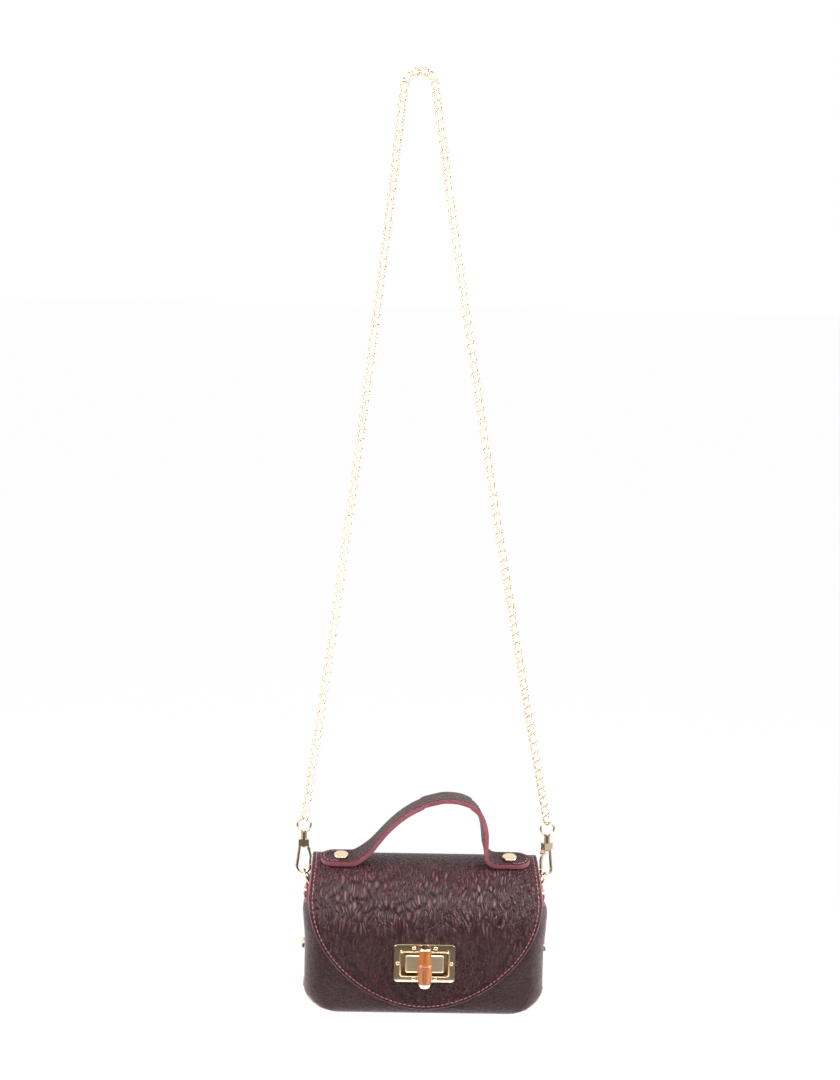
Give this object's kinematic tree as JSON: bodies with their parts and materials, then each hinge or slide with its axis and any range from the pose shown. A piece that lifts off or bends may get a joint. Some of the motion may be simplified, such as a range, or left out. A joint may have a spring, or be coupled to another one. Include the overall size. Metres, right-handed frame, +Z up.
{
  "type": "leather handbag",
  "caption": "Small leather shoulder bag: chain strap on snap hooks, short riveted top handle, rounded flap with a bamboo turn-lock.",
  "frame": {"origin": "middle of the joint between the two top links of the chain strap, from which the bag hangs", "axes": "+Z up along the hanging strap, -Y out of the front flap, +X to the right seen from the front"},
  "size_m": [0.1874, 0.0931, 0.6679],
  "materials": {
    "gold": "polished pale gold plating",
    "gold_inner": "plain plated brass, inside or behind",
    "leather": "grained aubergine leather with raw pink edges and pink stitching",
    "lining": "smooth rosy split leather",
    "handle_leather": "aubergine leather strap with a raw rosy edge",
    "spring_steel": "bare spring steel",
    "bamboo": "amber lacquered bamboo",
    "board": "stiff board"
  },
  "bodies": {
    "strap": {"chain_left": "gold", "chain_right": "gold", "left_hook_eye": "gold", "right_hook_eye": "gold"},
    "left_hook": {"left_hook_body": "gold", "left_gate_pin": "gold_inner", "left_gate_spring": "spring_steel"},
    "right_hook": {"right_hook_body": "gold", "right_gate_pin": "gold_inner", "right_gate_spring": "spring_steel"},
    "left_gate": {"left_gate": "gold"},
    "right_gate": {"right_gate": "gold"},
    "left_ring": {"left_d_ring": "gold"},
    "right_ring": {"right_d_ring": "gold"},
    "bag": {"left_ring_tab": "leather", "right_ring_tab": "leather", "front_panel": "leather", "back_panel": "leather", "base_panel": "leather", "base_board": "board", "left_gusset": "lining", "right_gusset": "lining", "side_rivets": "gold", "side_rivet_backs": "gold_inner", "handle_strap": "handle_leather", "handle_rivets": "gold", "handle_rivet_backs": "gold_inner", "panel_magnet": "spring_steel", "panel_magnet_back": "gold_inner"},
    "flap": {"flap_leather": "leather", "flap_lining": "lining", "flap_magnet": "spring_steel", "lock_frame": "gold", "lock_frame_pins": "gold", "lock_back_plate": "gold_inner", "lock_base": "gold_inner", "lock_base_pins": "gold_inner"},
    "toggle": {"toggle_cradle": "gold", "toggle_bamboo": "bamboo", "toggle_washer": "spring_steel", "toggle_clip": "spring_steel"}
  },
  "joints": [
    {"name": "left_swivel", "type": "hinge", "parent": "strap", "child": "left_hook", "pos_m": [-0.07075, 0, -0.55219], "axis": [0, 0, 1], "range_deg": [-35, 35]},
    {"name": "right_swivel", "type": "hinge", "parent": "strap", "child": "right_hook", "pos_m": [0.10525, 0, -0.55219], "axis": [0, 0, 1], "range_deg": [-68, 2]},
    {"name": "left_gate_opening", "type": "hinge", "parent": "left_hook", "child": "left_gate", "pos_m": [-0.067, 0, -0.55409], "axis": [0, 1, 0], "range_deg": [0, 22], "stiffness_Nm_per_rad": 0.01, "springref_deg": -5.73},
    {"name": "right_gate_opening", "type": "hinge", "parent": "right_hook", "child": "right_gate", "pos_m": [0.10217, -0.00215, -0.55409], "axis": [0.5736, -0.8192, 0], "range_deg": [0, 22], "stiffness_Nm_per_rad": 0.01, "springref_deg": -5.73},
    {"name": "bag_swing", "type": "hinge", "parent": "strap", "child": "bag", "pos_m": [0.01725, 0, -0.57094], "axis": [1, 0, 0], "range_deg": [-17, 17]},
    {"name": "left_ring_tilt", "type": "hinge", "parent": "bag", "child": "left_ring", "pos_m": [-0.06613, 0, -0.5779], "axis": [0, 1, 0], "range_deg": [0, 5]},
    {"name": "right_ring_tilt", "type": "hinge", "parent": "bag", "child": "right_ring", "pos_m": [0.10063, 0, -0.5779], "axis": [0, 1, 0], "range_deg": [-5, 0]},
    {"name": "flap_opening", "type": "hinge", "parent": "bag", "child": "flap", "pos_m": [0.01725, -0.02, -0.56848], "axis": [-1, 0, 0], "range_deg": [0, 120]},
    {"name": "toggle_turn", "type": "hinge", "parent": "flap", "child": "toggle", "pos_m": [0.01725, -0.041, -0.6252], "axis": [0, 1, 0], "range_deg": [0, 90]}
  ]
}
